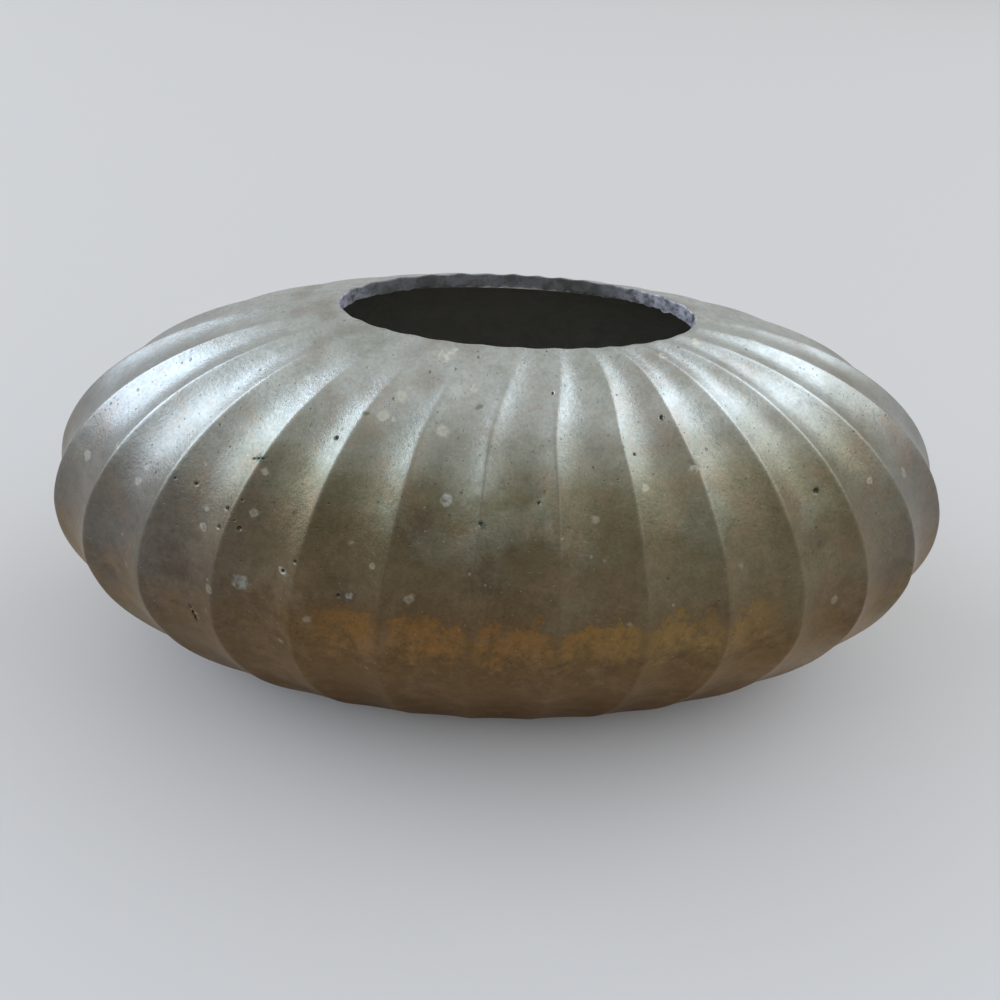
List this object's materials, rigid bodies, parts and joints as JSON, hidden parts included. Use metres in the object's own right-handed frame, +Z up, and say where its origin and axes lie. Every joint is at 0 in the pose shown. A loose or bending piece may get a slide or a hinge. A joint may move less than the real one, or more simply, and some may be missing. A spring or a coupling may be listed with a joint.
{
  "type": "fluted oval vase",
  "caption": "Squat oval brass vase with hollow flutes all round, an oval mouth in its domed shoulder and a flat base, cast as two shells and brazed at the waist.",
  "frame": {"origin": "middle of the flat base that the vase stands on", "axes": "+Z up out of the mouth, +X along the vase's length, +Y across it"},
  "size_m": [0.28, 0.1436, 0.1235],
  "materials": {
    "shoulder_brass": "satin, grey-olive patina with water spots and casting pits",
    "bowl_brass": "satin, warm brown patina with a golden band round the waist",
    "brazing_brass": "as brazed"
  },
  "bodies": {
    "root": {"upper_shell": "shoulder_brass", "lower_shell": "bowl_brass", "braze_ring": "brazing_brass"}
  },
  "joints": []
}
